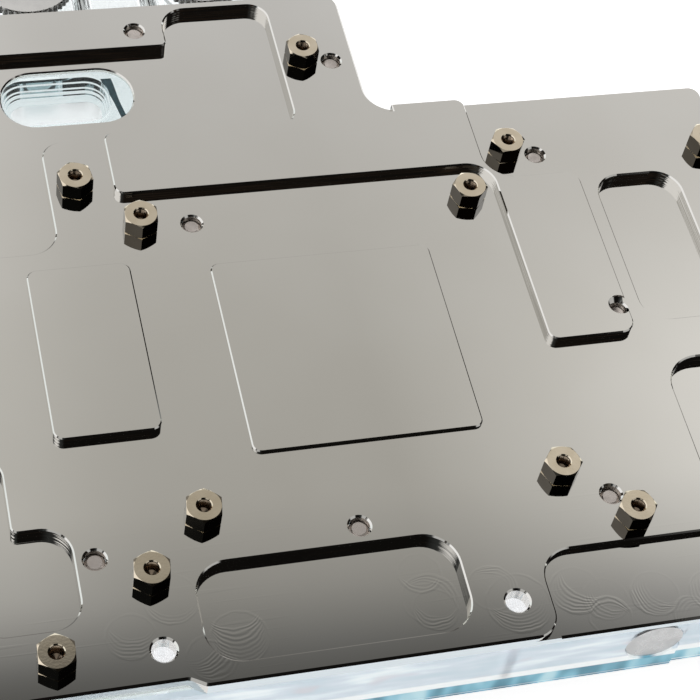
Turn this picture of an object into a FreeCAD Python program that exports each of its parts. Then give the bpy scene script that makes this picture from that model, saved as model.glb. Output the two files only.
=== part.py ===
# Full-cover liquid cooling cold plate for a graphics card, lying with its contact side up.
# Millimetres. Origin: centre of the chip contact face. +Z leaves the contact side, +Y goes to the ports.
import FreeCAD, Part
import math
import os

# Levels
die_rise = 0.5          # chip contact face above the plate's ground face
pad_rise = 1.35         # memory contact faces above the ground face
plate_thick = 2.4
pocket_deep = 1.73      # clearance pockets over tall components
edge_pocket_deep = 1.1  # the pocket that opens at the near edge
cover_thick = 12.0

# Plate outline
left_end = -72.0
right_end = 73.5
near_edge = -52.75
far_edge = 46.55
port_section_long = 27.85
port_edge = far_edge + port_section_long
port_section_right = 15.1
end_round = 2.0
port_section_round = 3.0
inner_round = 5.0
notch_left = -54.2      # shallow notch in the near edge
notch_right = -31.9
notch_deep = 1.3
notch_run = 2.2         # length of each slanted end of the notch
notch_round = 1.5
edge_lead = 0.35        # chamfer round the outline
mouth_lead = 0.22       # chamfer round pockets
pad_lead = 0.2          # chamfer round contact pads

# Contact pads
die_side = 35.0
die_round = 1.4
left_pad_x = -37.6
left_pad_y = 3.3
left_pad_wide = 15.7
left_pad_long = 30.8
pad_round = 1.6
far_pad_left = -29.6
far_pad_near = 32.3
far_pad_in = 1.45       # strip left between the pad and the plate's far edge
far_pad_far = far_edge - far_pad_in
far_pad_right = 30.8
far_pad_step = 18.5     # from here on the pad reaches the plate's far edge
right_pad_left = 31.7
right_pad_right = 45.85
right_pad_near = -3.95
right_pad_far = 29.0
neck_inner_round = 4.5
neck_outer_round = 5.0
right_pad_round = 2.3

# Pockets in the contact side
port_pocket_left = -60.0
port_pocket_in = 9.7
port_pocket_top_in = 1.6
port_pocket_far = port_edge - port_pocket_in
port_pocket_step = -15.8
port_pocket_top = port_edge - port_pocket_top_in
port_pocket_right = 2.4
port_pocket_near = far_pad_far
port_pocket_inner = -39.7
port_pocket_foot = 22.9
wave_pocket_left = -60.0
wave_pocket_side = -53.3
wave_pocket_far = -13.0
wave_pocket_back = -25.7
wave_pocket_right = -45.4
wave_pocket_near = -41.5
mid_pocket_left = -29.7
mid_pocket_right = 8.0
mid_pocket_back = -34.25
mid_pocket_in = 2.95
mid_pocket_near = near_edge + mid_pocket_in
mid_pocket_round = 5.0
edge_pocket_left = 19.5
edge_pocket_right = 62.0
edge_pocket_back = -39.4
edge_pocket_round = 4.8
edge_pocket_flare = 3.8
edge_pocket_past = 4.0  # the cutter runs out this far past the near edge
edge_pocket_spread = 8.0
far_pocket_left = 48.75
far_pocket_right = 63.1
far_pocket_near = -1.4
far_pocket_far = 28.4
side_pocket_near = -34.0
side_pocket_far = -9.0
side_pocket_round = 5.5
pocket_round = 4.3
floor_round = 3.3
step_round = 1.0        # pocket corners that stand inwards

# Window for a tall component, through the plate and stepped in the cover
window_x = -33.6
window_in = 18.25       # from the port edge to the window's middle
window_y = port_edge - window_in
window_long = 21.4
window_wide = 11.7
window_round = 5.5
window_near_ledge = 0.8  # the cover's opening starts this far inside the plate's on the near side
window_right_ledge = 3.7  # and this far inside on the right
window_cover_round = 3.9
# Each step of the cover's opening: how deep it goes, how far in on the far side, how far in elsewhere
window_steps = [
    (1.0, 1.0, 0.0),
    (1.9, 1.4, 0.3),
    (2.3, 1.8, 0.5),
    (2.6, 2.5, 0.8),
    (cover_thick, 4.15, 1.4)]

# Standoffs
die_spacing = 53.3
outer_spacing = 71.0
standoff_tall = 2.9
standoff_room = 0.25    # pads stay at least this clear of a standoff's corners
standoff_flats = 5.0
standoff_ring = 4.95    # round top face left by the chamfer
standoff_drill = 2.1
standoff_mouth = 2.4
standoff_bore_deep = 2.5
stud_across = 2.5
stud_long = 1.7
port_standoff = (6.1, 14.7)     # across, and in from the port edge
corner_standoff = (-50.0, 6.55)  # across, and in from the near edge
side_standoff = (3.7, 32.9)     # in from the right end, and along
single_standoffs = [
    (port_standoff[0], port_edge - port_standoff[1]),
    (corner_standoff[0], near_edge + corner_standoff[1]),
    (right_end - side_standoff[0], side_standoff[1])]
# Each stands turned to where its thread tightened, in degrees
die_turns = [21.5, 50.8, 46.5, 26.0]
outer_turns = [21.8, 54.8, 57.6, 39.9]
single_turns = [31.3, 26.9, 50.3]

# Screws that close the cover, seen from the contact side as tips in chamfered threads
screw_across = 3.0
screw_head_across = 5.5
screw_head_tall = 3.0
screw_head_sunk = 0.4
screw_socket = 2.5
screw_socket_deep = 1.6
screw_tip_below = 0.75
screw_tip_lead = 0.45
screw_mouth = 3.65
side_screw_in = 6.0     # screws along the left end stand this far inside it
end_screw_in = 4.3
island_screw = (-18.6, 26.1)
outer_half = outer_spacing / 2
beside_port_standoff = (5.0, -1.2)
beside_far_standoff = (4.9, -1.3)
beside_near_left = (-7.1, 4.05)
beside_near_right = (-2.3, 4.05)
far_row_in = 6.0
far_row = port_edge - far_row_in
near_row = beside_near_left[1] - outer_half
screw_places = [
    island_screw,
    (-20.7, far_row),
    (port_standoff[0] + beside_port_standoff[0], port_edge - port_standoff[1] + beside_port_standoff[1]),
    (outer_half + beside_far_standoff[0], outer_half + beside_far_standoff[1]),
    (44.6, 1.3),
    (-outer_half + beside_near_left[0], near_row),
    (-4.9, near_row),
    (outer_half + beside_near_right[0], near_row),
    (left_end + side_screw_in, near_row),
    (left_end + side_screw_in, 19.0),
    (left_end + side_screw_in, far_row),
    (right_end - end_screw_in, near_row)]
through_hole_across = 3.45
through_hole_mouth = 4.0
through_hole_in = 6.15
through_hole_row = near_edge + through_hole_in
through_hole_xs = [-35.6, 14.5]

# Coolant space between plate and cover
channel_deep = 2.7
wet_left = -59.0
wet_near = -12.0
wet_right = 38.5
wet_right_near = -3.5
wet_right_far = 28.0
wet_link_right = 33.0
wet_in = 5.05           # from the coolant space to the far edge
wet_far = far_edge - wet_in
riser_right = -51.0
outlet_right = -33.0
outlet_in = 4.8
outlet_wide = 4.1
outlet_far = port_edge - outlet_in
outlet_near = outlet_far - outlet_wide
sump_reach = 4.0        # the sump goes this far left of the outlet's axis
sump_round = 1.9
chamber_wide = 42.0
chamber_long = 38.0
island_near = 19.0
island_far = 33.0
island_right = 17.5
wet_round = 3.0
wet_inner_round = 3.8   # corners where the space turns inwards
wet_small_round = 1.6
fin_field_wide = 36.0
fin_field_long = 34.0
fin_tall = 2.6
fin_pitch = 0.8
fin_slot = 0.4
jet_plate_thick = 0.6
jet_slit_wide = 1.2
jet_slit_long = 30.0
jet_gap = 0.1           # between fin tips and jet plate
feed_left = -10.0
feed_right = 2.5
feed_long = 32.0
feed_floor_wall = 2.5   # acrylic left under the feed pocket
gasket_out = 2.4        # from the coolant space to the middle of the gasket
gasket_wide = 1.6
gasket_tall = 1.3
seal_section = 1.2      # cord of the round seals in the cover and the terminal block

# Terminal block with the two ports
port_mid_x = -21.85
port_spacing = 30.0
port_row_out = 8.7       # from the port edge to the ports' axes
terminal_long = 59.3
terminal_deep = 17.8
terminal_lead = 0.5
thread_across = 13.157  # G1/4
thread_core = 11.8
plug_thread_deep = 4.6
fitting_thread_deep = 5.6
passage_across = 5.6
passage_start = 3.0     # the inlet passage opens this far inside the feed pocket
passage_drop = 6.7      # passage's axis below the cover's upper face
plug_head_across = 16.2
plug_head_tall = 1.6
plug_head_lead = 0.2
plug_thread_long = 4.2
plug_socket = 6.0
plug_socket_deep = 3.0
knurl_count = 48
knurl_deep = 0.3
knurl_share = 0.8       # part of the pitch taken by each notch at the rim
plug_seal_section = 0.9
plug_groove_inner = 6.2
plug_thread_lead = 0.6
passage_seal_radius = 4.0
island_seal_wall = 0.3  # acrylic between a screw's hole and the seal round it
terminal_screw_drop = 6.0
terminal_screw_grip = 8.0
terminal_screw_inner = 5.65
terminal_screw_in = 4.0  # outer screws to the block's ends
terminal_screw_outer = terminal_long / 2 - terminal_screw_in

# Round disc in the cover's near side
disc_x = 35.0
disc_drop = 4.6         # disc's centre below the cover's upper face
disc_across = 8.8
disc_thick = 0.8
disc_sunk = 0.25
disc_lead = 0.15
side_step_x = 39.2      # the cover's near side steps back here
side_step_deep = 0.4

# Clearances
slip = 0.05             # between a piece and the recess it sits in
thread_slip = 0.05
screw_clear = 0.2

# Cutters run this far past the faces they open, and bodies that are joined reach this far into each other
past = 1.0
nearly = 0.999          # for chamfers and corners that would use up a whole side

# Levels that follow
ground = -die_rise
pad_top = ground + pad_rise
plate_bottom = ground - plate_thick
cover_bottom = plate_bottom - cover_thick
channel_floor = plate_bottom - channel_deep
fin_tip = plate_bottom - fin_tall
jet_top = fin_tip - jet_gap
chamber_floor = jet_top - jet_plate_thick
passage_z = plate_bottom - passage_drop
inlet_x = port_mid_x + port_spacing / 2
outlet_x = port_mid_x - port_spacing / 2
port_row_y = port_edge + port_row_out
terminal_far = port_edge + terminal_deep


def rounded(corners):
    # Closed wire through (x, y, radius) corners, each corner an arc tangent to its two sides
    points = []
    count = len(corners)
    for index, (x, y, radius) in enumerate(corners):
        x0, y0 = corners[index - 1][:2]
        x1, y1 = corners[(index + 1) % count][:2]
        before = FreeCAD.Vector(x0, y0, 0)
        here = FreeCAD.Vector(x, y, 0)
        after = FreeCAD.Vector(x1, y1, 0)
        back = (before - here).normalize()
        ahead = (after - here).normalize()
        half = back.getAngle(ahead) / 2
        if radius < 0.01 or half > math.radians(89.9):
            points.append((here, here, here))
            continue
        run = radius / math.tan(half)
        middle = (back + ahead).normalize() * (radius / math.sin(half) - radius)
        points.append((here + back * run, here + middle, here + ahead * run))
    edges = []
    for index, (start, middle, end) in enumerate(points):
        if (end - start).Length > 1e-6:
            edges.append(Part.Arc(start, middle, end).toShape())
        following = points[(index + 1) % count][0]
        if (following - end).Length > 1e-6:
            edges.append(Part.LineSegment(end, following).toShape())
    return Part.Wire(edges)


def grown(corners, reach):
    # The same corners moved outwards by reach, for corners listed anticlockwise
    moved = []
    count = len(corners)
    for index, (x, y, radius) in enumerate(corners):
        x0, y0 = corners[index - 1][:2]
        x1, y1 = corners[(index + 1) % count][:2]
        in_length = math.hypot(x - x0, y - y0)
        out_length = math.hypot(x1 - x, y1 - y)
        ax, ay = (x - x0) / in_length, (y - y0) / in_length
        bx, by = (x1 - x) / out_length, (y1 - y) / out_length
        turn = ax * by - ay * bx
        if abs(turn) < 1e-6:
            moved.append((x + ay * reach, y - ax * reach, radius))
            continue
        slide = (1 - ax * bx - ay * by) / turn
        new_radius = radius + reach if turn > 0 else max(radius - reach, 0.0)
        if radius == 0:
            new_radius = 0.0
        moved.append((x + (ay + ax * slide) * reach, y + (-ax + ay * slide) * reach, new_radius))
    return moved


def box_corners(x_low, x_high, y_low, y_high, radius):
    return [(x_low, y_low, radius), (x_high, y_low, radius), (x_high, y_high, radius), (x_low, y_high, radius)]


def prism(corners, low, high):
    face = Part.Face(rounded(corners))
    face.translate(FreeCAD.Vector(0, 0, low))
    return face.extrude(FreeCAD.Vector(0, 0, high - low))


def level_edges(shape, level):
    found = []
    for edge in shape.Edges:
        box = edge.BoundBox
        if abs(box.ZMin - level) < 1e-4 and abs(box.ZMax - level) < 1e-4:
            found.append(edge)
    return found


def raised(corners, low, high, lead):
    # A prism whose upper edges are chamfered
    body = prism(corners, low, high)
    return body.makeChamfer(lead, level_edges(body, high))


def sunk(corners, floor, rim, lead):
    # A cutter for a pocket whose mouth is chamfered
    top = rim + pad_rise + past
    mouth = prism(grown(corners, lead), rim - lead, top)
    mouth = mouth.makeChamfer(lead * nearly, level_edges(mouth, rim - lead))
    return prism(corners, floor, top).fuse(mouth)


def rod(x, y, low, high, across):
    return Part.makeCylinder(across / 2, high - low, FreeCAD.Vector(x, y, low))


def rod_along_y(x, z, start, end, across):
    return Part.makeCylinder(across / 2, end - start, FreeCAD.Vector(x, start, z), FreeCAD.Vector(0, 1, 0))


def mouth_cone(x, y, level, across, mouth_across):
    # Countersink of 45 degrees that opens to mouth_across at this level
    deep = (mouth_across - across) / 2
    return Part.makeCone(across / 2, mouth_across / 2 + past, deep + past, FreeCAD.Vector(x, y, level - deep))


def hexagon(flats, low, high, turn=0.0):
    reach = flats / math.sqrt(3)
    corners = []
    for index in range(6):
        angle = math.radians(turn + 60 * index)
        corners.append((reach * math.cos(angle), reach * math.sin(angle), 0))
    return prism(corners, low, high)


def ring_seal(centre, axis, radius, section):
    return Part.makeTorus(radius, section / 2, centre, axis)


def ring_groove(centre, axis, radius):
    # Cutter for a round seal: starts on the face and goes seal_section deep along the axis
    outer = Part.makeCylinder(radius + seal_section / 2 + slip, seal_section, centre, axis)
    return outer.cut(Part.makeCylinder(radius - seal_section / 2 - slip, seal_section, centre, axis))


def square_places(spacing):
    half = spacing / 2
    return [(-half, -half), (half, -half), (half, half), (-half, half)]


plate_outline = [
    (left_end, near_edge, port_section_round),
    (notch_left - notch_run, near_edge, notch_round),
    (notch_left, near_edge + notch_deep, notch_round),
    (notch_right - notch_run / 2, near_edge + notch_deep, notch_round),
    (notch_right + notch_run / 2, near_edge, notch_round),
    (right_end, near_edge, end_round),
    (right_end, far_edge, end_round),
    (port_section_right, far_edge, inner_round),
    (port_section_right, port_edge, port_section_round),
    (left_end, port_edge, port_section_round)]

cover_outline = [
    (left_end, near_edge, port_section_round),
    (side_step_x, near_edge, 0),
    (side_step_x, near_edge + side_step_deep, 0),
    (right_end, near_edge + side_step_deep, end_round),
    (right_end, far_edge, end_round),
    (port_section_right, far_edge, inner_round),
    (port_section_right, port_edge, port_section_round),
    (left_end, port_edge, port_section_round)]

memory_pad = [
    (far_pad_left, far_pad_near, pad_round),
    (right_pad_left, far_pad_near, neck_inner_round),
    (right_pad_left, right_pad_near, pad_round),
    (right_pad_right, right_pad_near, right_pad_round),
    (right_pad_right, right_pad_far, right_pad_round),
    (far_pad_right, right_pad_far, neck_outer_round),
    (far_pad_right, far_edge, pad_round),
    (far_pad_step, far_edge, 0),
    (far_pad_step, far_pad_far, 0),
    (far_pad_left, far_pad_far, pad_round)]

port_pocket = [
    (port_pocket_left, port_pocket_foot, pocket_round),
    (port_pocket_inner, port_pocket_foot, pocket_round),
    (port_pocket_inner, port_pocket_near, floor_round),
    (port_pocket_right, port_pocket_near, floor_round),
    (port_pocket_right, port_pocket_top, floor_round),
    (port_pocket_step, port_pocket_top, pocket_round),
    (port_pocket_step, port_pocket_far, step_round),
    (port_pocket_left, port_pocket_far, pocket_round)]

wave_pocket = [
    (wave_pocket_left, wave_pocket_near, pocket_round),
    (wave_pocket_right, wave_pocket_near, pocket_round),
    (wave_pocket_right, wave_pocket_back, pocket_round),
    (wave_pocket_side, wave_pocket_back, step_round),
    (wave_pocket_side, wave_pocket_far, floor_round),
    (wave_pocket_left, wave_pocket_far, floor_round)]

# Runs out past the near edge, and flares where it meets it
edge_pocket = [
    (edge_pocket_left - edge_pocket_spread, near_edge - edge_pocket_past, 0),
    (edge_pocket_right + edge_pocket_spread, near_edge - edge_pocket_past, 0),
    (edge_pocket_right + edge_pocket_spread, near_edge, 0),
    (edge_pocket_right, near_edge, edge_pocket_flare),
    (edge_pocket_right, edge_pocket_back, edge_pocket_round),
    (edge_pocket_left, edge_pocket_back, edge_pocket_round),
    (edge_pocket_left, near_edge, edge_pocket_flare),
    (edge_pocket_left - edge_pocket_spread, near_edge, 0)]

window = box_corners(window_x - window_long / 2, window_x + window_long / 2,
                     window_y - window_wide / 2, window_y + window_wide / 2, window_round)

wet_outline = [
    (wet_left, wet_near, wet_round),
    (-chamber_wide / 2, wet_near, wet_inner_round),
    (-chamber_wide / 2, -chamber_long / 2, wet_round),
    (chamber_wide / 2, -chamber_long / 2, wet_round),
    (chamber_wide / 2, wet_right_near, wet_inner_round),
    (wet_right, wet_right_near, wet_round),
    (wet_right, wet_right_far, wet_small_round),
    (wet_link_right, wet_right_far, wet_inner_round),
    (wet_link_right, wet_far, wet_round),
    (riser_right, wet_far, wet_inner_round),
    (riser_right, outlet_near, wet_inner_round),
    (outlet_right, outlet_near, wet_small_round),
    (outlet_right, outlet_far, wet_small_round),
    (wet_left, outlet_far, wet_round)]

# Dry land inside the coolant space, round one of the screws
island = box_corners(riser_right, island_right, island_near, island_far, wet_round)


def standoff_places():
    places = []
    for (x, y), turn in zip(square_places(die_spacing), die_turns):
        places.append((x, y, turn))
    for (x, y), turn in zip(square_places(outer_spacing), outer_turns):
        places.append((x, y, turn))
    for (x, y), turn in zip(single_standoffs, single_turns):
        places.append((x, y, turn))
    return places


def fin_field():
    # Straight fins along X on the coolant side, under the chip
    block = Part.makeBox(fin_field_wide, fin_field_long, fin_tall + past,
                         FreeCAD.Vector(-fin_field_wide / 2, -fin_field_long / 2, fin_tip))
    count = int((fin_field_long - fin_slot) / fin_pitch)
    first = -(count - 1) * fin_pitch / 2
    slots = []
    for index in range(count):
        slot_y = first + index * fin_pitch - fin_slot / 2
        corner = FreeCAD.Vector(-fin_field_wide / 2 - past, slot_y, fin_tip - past)
        slots.append(Part.makeBox(fin_field_wide + 2 * past, fin_slot, fin_tall + past, corner))
    return block.cut(Part.makeCompound(slots))


def plate_pockets():
    floor = ground - pocket_deep
    mid_pocket = box_corners(mid_pocket_left, mid_pocket_right, mid_pocket_near, mid_pocket_back,
                             mid_pocket_round)
    far_pocket = box_corners(far_pocket_left, far_pocket_right, far_pocket_near, far_pocket_far, pocket_round)
    side_pocket = box_corners(far_pocket_left, far_pocket_right, side_pocket_near, side_pocket_far,
                              side_pocket_round)
    cutters = []
    for corners in (port_pocket, wave_pocket, mid_pocket, far_pocket, side_pocket):
        cutters.append(sunk(corners, floor, ground, mouth_lead))
    cutters.append(sunk(edge_pocket, ground - edge_pocket_deep, ground, mouth_lead))
    return cutters


def edge_pocket_chamfer():
    # Chamfer along the open edge of the near pocket
    level = ground - edge_pocket_deep
    profile = [(near_edge, level - edge_lead), (near_edge + edge_lead, level), (near_edge + edge_lead, ground),
               (near_edge - past, ground), (near_edge - past, level - edge_lead)]
    points = [FreeCAD.Vector(edge_pocket_left, y, z) for y, z in profile + profile[:1]]
    wedge = Part.Face(Part.makePolygon(points))
    return wedge.extrude(FreeCAD.Vector(edge_pocket_right - edge_pocket_left, 0, 0))


def cold_plate():
    body = raised(plate_outline, plate_bottom, ground, edge_lead)
    half = die_side / 2
    left_pad = box_corners(left_pad_x - left_pad_wide / 2, left_pad_x + left_pad_wide / 2,
                           left_pad_y - left_pad_long / 2, left_pad_y + left_pad_long / 2, pad_round)
    pads = [
        raised(box_corners(-half, half, -half, half, die_round), ground - past, 0, pad_lead),
        raised(left_pad, ground - past, pad_top, pad_lead),
        raised(memory_pad, ground - past, pad_top, pad_lead)]
    body = body.fuse(pads + [fin_field()])
    cutters = plate_pockets()
    cutters.append(edge_pocket_chamfer())
    cutters.append(sunk(window, plate_bottom - past, ground - pocket_deep, mouth_lead))
    above_pads = pad_top + past
    for x, y in screw_places:
        cutters.append(rod(x, y, plate_bottom - past, above_pads, screw_across + 2 * thread_slip))
        cutters.append(mouth_cone(x, y, ground, screw_across + 2 * thread_slip, screw_mouth))
        cutters.append(rod(x, y, ground, above_pads, screw_mouth))
    for x in through_hole_xs:
        cutters.append(rod(x, through_hole_row, plate_bottom - past, ground + past, through_hole_across))
        cutters.append(mouth_cone(x, through_hole_row, ground, through_hole_across, through_hole_mouth))
    room_across = 2 * (standoff_flats / math.sqrt(3) + standoff_room)
    for x, y, turn in standoff_places():
        cutters.append(rod(x, y, ground - stud_long - slip, ground + past, stud_across + 2 * thread_slip))
        cutters.append(rod(x, y, ground, above_pads, room_across))
    return body.cut(cutters)


def cover():
    body = prism(cover_outline, cover_bottom, plate_bottom)
    top = plate_bottom + past
    wet = prism(wet_outline, channel_floor, top).cut(prism(island, channel_floor - past, top + past))
    chamber_corners = box_corners(-chamber_wide / 2, chamber_wide / 2, -chamber_long / 2, chamber_long / 2,
                                  wet_round)
    chamber = prism(chamber_corners, chamber_floor, top)
    feed = prism(box_corners(feed_left, feed_right, -feed_long / 2, feed_long / 2, wet_round),
                 cover_bottom + feed_floor_wall, top)
    sump = prism(box_corners(outlet_x - sump_reach, outlet_right, outlet_near, outlet_far, sump_round),
                 cover_bottom + feed_floor_wall, top)
    groove = prism(grown(wet_outline, gasket_out + gasket_wide / 2 + slip), plate_bottom - gasket_tall, top)
    groove = groove.cut(prism(grown(wet_outline, gasket_out - gasket_wide / 2 - slip),
                              plate_bottom - gasket_tall - past, top + past))
    cutters = [wet, chamber, feed, sump, groove]
    inlet_start = feed_long / 2 - passage_start
    outlet_start = (outlet_near + outlet_far) / 2
    cutters.append(rod_along_y(inlet_x, passage_z, inlet_start, port_edge + past, passage_across))
    cutters.append(rod_along_y(outlet_x, passage_z, outlet_start, port_edge + past, passage_across))
    cutters += window_cutters(top)
    seat = cover_bottom + screw_head_sunk + screw_head_tall
    for x, y in screw_places:
        cutters.append(rod(x, y, cover_bottom - past, top, screw_across + 2 * screw_clear))
        cutters.append(rod(x, y, cover_bottom - past, seat, screw_head_across + 2 * screw_clear))
    for x in through_hole_xs:
        cutters.append(rod(x, through_hole_row, cover_bottom - past, top, through_hole_across))
    for x in terminal_screw_xs():
        tip = port_edge - terminal_screw_grip - slip
        cutters.append(rod_along_y(x, plate_bottom - terminal_screw_drop, tip, port_edge + past,
                                   screw_across + 2 * thread_slip))
    x, y = island_screw
    island_top = FreeCAD.Vector(x, y, plate_bottom)
    cutters.append(ring_groove(island_top, FreeCAD.Vector(0, 0, -1), island_seal_radius()))
    cutters.append(rod_along_y(disc_x, plate_bottom - disc_drop, near_edge - past,
                               near_edge + disc_thick + disc_sunk, disc_across + 2 * slip))
    return body.cut(cutters)


def window_cutters(top):
    # The cover's opening narrows in steps, most of all on the far side
    left = window_x - window_long / 2
    right = window_x + window_long / 2 - window_right_ledge
    near = window_y - window_wide / 2 + window_near_ledge
    far = window_y + window_wide / 2
    cutters = []
    for deep, far_in, in_elsewhere in window_steps:
        corners = box_corners(left + in_elsewhere, right - in_elsewhere, near + in_elsewhere, far - far_in,
                              window_cover_round - in_elsewhere)
        floor = plate_bottom - deep
        if deep == cover_thick:
            floor -= past
        cutters.append(prism(corners, floor, top))
    return cutters


def island_seal_radius():
    return screw_across / 2 + screw_clear + island_seal_wall + seal_section / 2


def terminal_screw_xs():
    offsets = (-terminal_screw_outer, -terminal_screw_inner, terminal_screw_inner, terminal_screw_outer)
    return [port_mid_x + offset for offset in offsets]


def terminal_block():
    low_x = port_mid_x - terminal_long / 2
    body = Part.makeBox(terminal_long, terminal_far - port_edge, cover_thick,
                        FreeCAD.Vector(low_x, port_edge, cover_bottom))
    outer_edges = []
    for edge in body.Edges:
        if edge.BoundBox.YMin > port_edge + 0.1:
            outer_edges.append(edge)
    body = body.makeChamfer(terminal_lead, outer_edges)
    cutters = []
    below = cover_bottom - past
    above = plate_bottom + past
    for x in (outlet_x, inlet_x):
        cutters.append(rod(x, port_row_y, below, above, thread_core))
        cutters.append(rod(x, port_row_y, plate_bottom - plug_thread_deep, above, thread_across))
        cutters.append(rod(x, port_row_y, below, cover_bottom + fitting_thread_deep, thread_across))
        cutters.append(rod_along_y(x, passage_z, port_edge - past, port_row_y, passage_across))
        cutters.append(ring_groove(FreeCAD.Vector(x, port_edge, passage_z), FreeCAD.Vector(0, 1, 0),
                                   passage_seal_radius))
    screw_z = plate_bottom - terminal_screw_drop
    seat = terminal_far - screw_head_tall - screw_head_sunk
    for x in terminal_screw_xs():
        cutters.append(rod_along_y(x, screw_z, port_edge - past, seat, screw_across + 2 * screw_clear))
        cutters.append(rod_along_y(x, screw_z, seat, terminal_far + past, screw_head_across + 2 * screw_clear))
    return body.cut(cutters)


def standoff(x, y, turn):
    # Hexagonal body with a chamfered ring at each end, a threaded stud below and a threaded bore above
    ring = standoff_ring / 2
    corner = standoff_flats / math.sqrt(3) + 0.01
    slope = (corner - ring) * math.tan(math.radians(30))
    profile = [(0, 0), (ring, 0), (corner, slope), (corner, standoff_tall - slope), (ring, standoff_tall),
               (0, standoff_tall), (0, 0)]
    outline = Part.makePolygon([FreeCAD.Vector(radius, 0, height) for radius, height in profile])
    barrel = Part.Face(outline).revolve(FreeCAD.Vector(0, 0, 0), FreeCAD.Vector(0, 0, 1), 360)
    body = hexagon(standoff_flats, 0, standoff_tall, turn).common(barrel)
    body = body.fuse(rod(0, 0, -stud_long, standoff_tall - standoff_bore_deep, stud_across))
    body = body.cut(rod(0, 0, standoff_tall - standoff_bore_deep, standoff_tall + past, standoff_drill))
    body = body.cut(mouth_cone(0, 0, standoff_tall, standoff_drill, standoff_mouth))
    body.translate(FreeCAD.Vector(x, y, ground))
    return body


def cap_screw(long):
    # Socket head at the bottom, tip up, with the underside of the head at zero
    head = rod(0, 0, -screw_head_tall, 0, screw_head_across)
    head = head.makeChamfer(screw_tip_lead, level_edges(head, -screw_head_tall))
    shank = rod(0, 0, -past, long, screw_across)
    shank = shank.makeChamfer(screw_tip_lead, level_edges(shank, long))
    socket = hexagon(screw_socket, -screw_head_tall - past, -screw_head_tall + screw_socket_deep)
    return head.fuse(shank).cut(socket)


def cover_screws():
    seat = cover_bottom + screw_head_sunk + screw_head_tall
    solids = []
    for x, y in screw_places:
        screw = cap_screw(ground - screw_tip_below - seat)
        screw.translate(FreeCAD.Vector(x, y, seat))
        solids.append(screw)
    return Part.makeCompound(solids)


def terminal_screws():
    seat = terminal_far - screw_head_tall - screw_head_sunk
    solids = []
    for x in terminal_screw_xs():
        screw = cap_screw(seat - port_edge + terminal_screw_grip)
        screw.rotate(FreeCAD.Vector(0, 0, 0), FreeCAD.Vector(1, 0, 0), 90)
        screw.translate(FreeCAD.Vector(x, seat, plate_bottom - terminal_screw_drop))
        solids.append(screw)
    return Part.makeCompound(solids)


def port_plug(x):
    # Knurled head on the block, thread below, and a groove under the head for its seal
    head = rod(0, 0, 0, plug_head_tall, plug_head_across)
    head = head.makeChamfer(plug_head_lead, level_edges(head, plug_head_tall))
    rim = plug_head_across / 2
    outside = rim + knurl_deep
    notch_half = math.pi * rim / knurl_count * knurl_share * 2
    notches = []
    for index in range(knurl_count):
        notch = prism([(rim - knurl_deep, 0, 0), (outside, -notch_half, 0), (outside, notch_half, 0)],
                      -past, plug_head_tall + past)
        notch.rotate(FreeCAD.Vector(0, 0, 0), FreeCAD.Vector(0, 0, 1), 360 / knurl_count * index)
        notches.append(notch)
    head = head.cut(Part.makeCompound(notches))
    thread = rod(0, 0, -plug_thread_long, 0, thread_across - 2 * thread_slip)
    thread = thread.makeChamfer(plug_thread_lead, level_edges(thread, -plug_thread_long))
    body = head.fuse(thread)
    groove_across = 2 * (plug_seal_radius() + plug_seal_section / 2 + slip)
    groove = rod(0, 0, 0, plug_seal_section, groove_across)
    body = body.cut(groove.cut(rod(0, 0, 0, plug_seal_section, 2 * plug_groove_inner)))
    body = body.cut(hexagon(plug_socket, plug_head_tall - plug_socket_deep, plug_head_tall + past))
    body.translate(FreeCAD.Vector(x, port_row_y, plate_bottom))
    return body


def plug_seal_radius():
    return plug_groove_inner + slip + plug_seal_section / 2


def plug_seal(x):
    centre = FreeCAD.Vector(x, port_row_y, plate_bottom + plug_seal_section / 2)
    return ring_seal(centre, FreeCAD.Vector(0, 0, 1), plug_seal_radius(), plug_seal_section)


def passage_seal(x):
    centre = FreeCAD.Vector(x, port_edge + seal_section / 2, passage_z)
    return ring_seal(centre, FreeCAD.Vector(0, 1, 0), passage_seal_radius, seal_section)


def main_gasket():
    low = plate_bottom - gasket_tall
    outer = prism(grown(wet_outline, gasket_out + gasket_wide / 2), low, plate_bottom)
    return outer.cut(prism(grown(wet_outline, gasket_out - gasket_wide / 2), low - past, plate_bottom + past))


def island_seal():
    x, y = island_screw
    centre = FreeCAD.Vector(x, y, plate_bottom - seal_section / 2)
    return ring_seal(centre, FreeCAD.Vector(0, 0, 1), island_seal_radius(), seal_section)


def jet_plate():
    wide = chamber_wide / 2 - slip
    long = chamber_long / 2 - slip
    body = prism(box_corners(-wide, wide, -long, long, wet_round - slip), chamber_floor, jet_top)
    slit = box_corners(-jet_slit_wide / 2, jet_slit_wide / 2, -jet_slit_long / 2, jet_slit_long / 2,
                       jet_slit_wide / 2 * nearly)
    return body.cut(prism(slit, chamber_floor - past, jet_top + past))


def badge_disc():
    start = near_edge + disc_sunk
    body = rod_along_y(disc_x, plate_bottom - disc_drop, start, start + disc_thick, disc_across)
    face_edges = []
    for edge in body.Edges:
        if edge.BoundBox.YMax < start + 0.01:
            face_edges.append(edge)
    return body.makeChamfer(disc_lead, face_edges)


def write(name, shape):
    shape.exportStep("parts/" + name + ".step")
    volume = sum(solid.Volume for solid in shape.Solids)
    print(name, "solids", len(shape.Solids), "valid", shape.isValid(), "mm3", round(volume, 1))


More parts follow.
